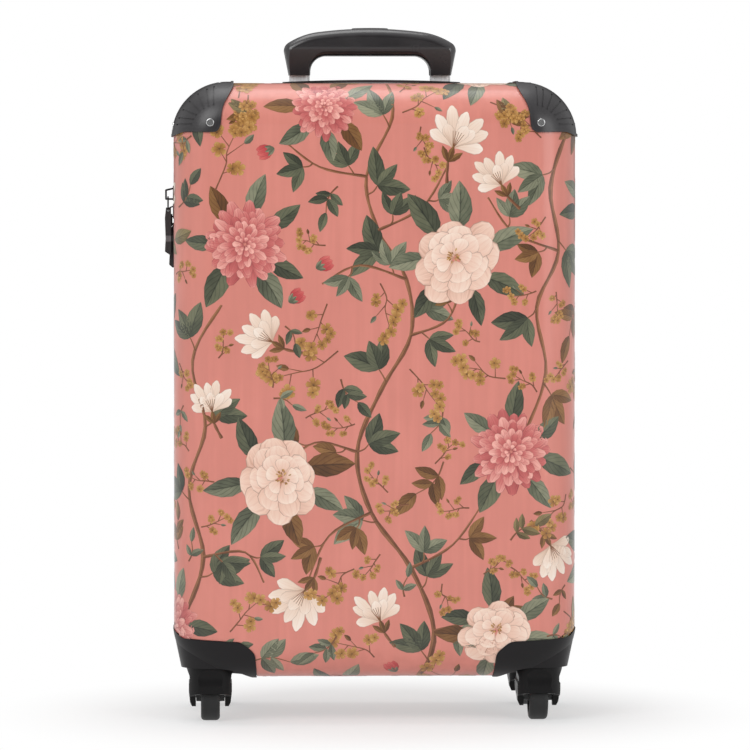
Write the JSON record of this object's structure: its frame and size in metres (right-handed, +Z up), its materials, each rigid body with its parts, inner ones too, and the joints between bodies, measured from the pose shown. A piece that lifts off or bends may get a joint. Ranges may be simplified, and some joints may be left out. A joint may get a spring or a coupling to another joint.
{
  "type": "hard-shell cabin suitcase",
  "caption": "Upright hard-shell cabin suitcase with swivel casters, a telescopic pull handle, a top carry handle and a zip round its middle; opens like a book.",
  "frame": {"origin": "middle of the footprint, on the floor under the wheels", "axes": "+Z up, -Y out of the printed front, +X to the right seen from the front"},
  "size_m": [0.3563, 0.1992, 0.6019],
  "materials": {
    "printed_shell": "glossy",
    "guard_plastic": "satin",
    "housing_plastic": "satin",
    "fork_nylon": "satin",
    "tyre_rubber": "matt",
    "wheel_plastic": "satin",
    "axle_steel": "bright",
    "screw_chrome": "polished",
    "tube_aluminium": "satin anodised",
    "bracket_plastic": "matt",
    "bezel_plastic": "satin",
    "grip_plastic": "satin",
    "button_plastic": "satin",
    "carry_handle_plastic": "satin",
    "zip_tape_cloth": "woven",
    "zip_coil_plastic": "satin",
    "slider_metal": "satin black",
    "pull_rubber": "matt",
    "lining_cloth": "woven",
    "strap_webbing": "woven",
    "buckle_plastic": "satin"
  },
  "bodies": {
    "rear_half": {"rear_shell": "printed_shell", "rear_zip_tape": "zip_tape_cloth", "rear_zip_coil": "zip_coil_plastic", "hinge_gusset": "zip_tape_cloth", "rear_left_corner_guard": "guard_plastic", "rear_right_corner_guard": "guard_plastic", "rear_left_wheel_housing": "housing_plastic", "rear_right_wheel_housing": "housing_plastic", "rear_guard_screws": "screw_chrome", "left_outer_tube": "tube_aluminium", "right_outer_tube": "tube_aluminium", "tube_bracket": "bracket_plastic", "handle_bezel": "bezel_plastic", "left_carry_socket": "carry_handle_plastic", "right_carry_socket": "carry_handle_plastic", "rear_lining": "lining_cloth", "packing_straps": "strap_webbing", "strap_buckle": "buckle_plastic"},
    "front_half": {"front_shell": "printed_shell", "front_zip_tape": "zip_tape_cloth", "front_zip_coil": "zip_coil_plastic", "front_left_corner_guard": "guard_plastic", "front_right_corner_guard": "guard_plastic", "front_left_wheel_housing": "housing_plastic", "front_right_wheel_housing": "housing_plastic", "front_guard_screws": "screw_chrome", "front_lining": "lining_cloth"},
    "handle": {"grip_body": "grip_plastic", "grip_cover": "grip_plastic", "left_inner_tube": "tube_aluminium", "right_inner_tube": "tube_aluminium"},
    "button": {"grip_button": "button_plastic"},
    "carry_grip": {"carry_handle": "carry_handle_plastic"},
    "upper_slider": {"upper_zip_slider": "slider_metal"},
    "lower_slider": {"lower_zip_slider": "slider_metal"},
    "upper_link": {"upper_pull_link": "slider_metal"},
    "lower_link": {"lower_pull_link": "slider_metal"},
    "upper_tab": {"upper_pull_tab": "pull_rubber"},
    "lower_tab": {"lower_pull_tab": "pull_rubber"},
    "front_left_caster": {"front_left_caster_fork": "fork_nylon", "front_left_caster_stem": "axle_steel", "front_left_wheel_axle": "axle_steel"},
    "front_left_wheel": {"front_left_wheel_core": "wheel_plastic", "front_left_wheel_tyre": "tyre_rubber"},
    "front_right_caster": {"front_right_caster_fork": "fork_nylon", "front_right_caster_stem": "axle_steel", "front_right_wheel_axle": "axle_steel"},
    "front_right_wheel": {"front_right_wheel_core": "wheel_plastic", "front_right_wheel_tyre": "tyre_rubber"},
    "rear_left_caster": {"rear_left_caster_fork": "fork_nylon", "rear_left_caster_stem": "axle_steel", "rear_left_wheel_axle": "axle_steel"},
    "rear_left_wheel": {"rear_left_wheel_core": "wheel_plastic", "rear_left_wheel_tyre": "tyre_rubber"},
    "rear_right_caster": {"rear_right_caster_fork": "fork_nylon", "rear_right_caster_stem": "axle_steel", "rear_right_wheel_axle": "axle_steel"},
    "rear_right_wheel": {"rear_right_wheel_core": "wheel_plastic", "rear_right_wheel_tyre": "tyre_rubber"}
  },
  "joints": [
    {"name": "case_open", "type": "hinge", "parent": "rear_half", "child": "front_half", "pos_m": [0.178, 0, 0.295], "axis": [0, 0, 1], "range_deg": [0, 180]},
    {"name": "handle_slide", "type": "slide", "parent": "rear_half", "child": "handle", "axis": [0, 0, 1], "range_m": [0, 0.4]},
    {"name": "button_press", "type": "slide", "parent": "handle", "child": "button", "axis": [0, 0, -1], "range_m": [0, 0.003], "stiffness_N_per_m": 400, "springref_m": -0.002},
    {"name": "carry_lift", "type": "slide", "parent": "rear_half", "child": "carry_grip", "axis": [0, 0, 1], "range_m": [0, 0.012]},
    {"name": "upper_slider_run", "type": "slide", "parent": "rear_half", "child": "upper_slider", "axis": [0, 0, 1], "range_m": [0, 0.035]},
    {"name": "lower_slider_run", "type": "slide", "parent": "rear_half", "child": "lower_slider", "axis": [0, 0, 1], "range_m": [-0.33, 0]},
    {"name": "upper_link_swing", "type": "hinge", "parent": "upper_slider", "child": "upper_link", "pos_m": [-0.1784, 0, 0.4528], "axis": [0, 1, 0], "range_deg": [0, 150]},
    {"name": "lower_link_swing", "type": "hinge", "parent": "lower_slider", "child": "lower_link", "pos_m": [-0.1753, 0, 0.4373], "axis": [0, 1, 0], "range_deg": [0, 100]},
    {"name": "upper_tab_swing", "type": "hinge", "parent": "upper_link", "child": "upper_tab", "pos_m": [-0.1784, 0, 0.4412], "axis": [0, 1, 0], "range_deg": [0, 60]},
    {"name": "lower_tab_swing", "type": "hinge", "parent": "lower_link", "child": "lower_tab", "pos_m": [-0.1753, 0, 0.4277], "axis": [0, 1, 0], "range_deg": [0, 60]},
    {"name": "front_left_swivel", "type": "hinge", "parent": "front_half", "child": "front_left_caster", "pos_m": [-0.142, -0.062, 0.048], "axis": [0, 0, 1], "continuous": true},
    {"name": "front_left_spin", "type": "hinge", "parent": "front_left_caster", "child": "front_left_wheel", "pos_m": [-0.142, -0.052, 0.0215], "axis": [1, 0, 0], "continuous": true},
    {"name": "front_right_swivel", "type": "hinge", "parent": "front_half", "child": "front_right_caster", "pos_m": [0.142, -0.062, 0.048], "axis": [0, 0, 1], "continuous": true},
    {"name": "front_right_spin", "type": "hinge", "parent": "front_right_caster", "child": "front_right_wheel", "pos_m": [0.142, -0.052, 0.0215], "axis": [1, 0, 0], "continuous": true},
    {"name": "rear_left_swivel", "type": "hinge", "parent": "rear_half", "child": "rear_left_caster", "pos_m": [-0.142, 0.062, 0.048], "axis": [0, 0, 1], "continuous": true},
    {"name": "rear_left_spin", "type": "hinge", "parent": "rear_left_caster", "child": "rear_left_wheel", "pos_m": [-0.142, 0.072, 0.0215], "axis": [1, 0, 0], "continuous": true},
    {"name": "rear_right_swivel", "type": "hinge", "parent": "rear_half", "child": "rear_right_caster", "pos_m": [0.142, 0.062, 0.048], "axis": [0, 0, 1], "continuous": true},
    {"name": "rear_right_spin", "type": "hinge", "parent": "rear_right_caster", "child": "rear_right_wheel", "pos_m": [0.142, 0.072, 0.0215], "axis": [1, 0, 0], "continuous": true}
  ]
}
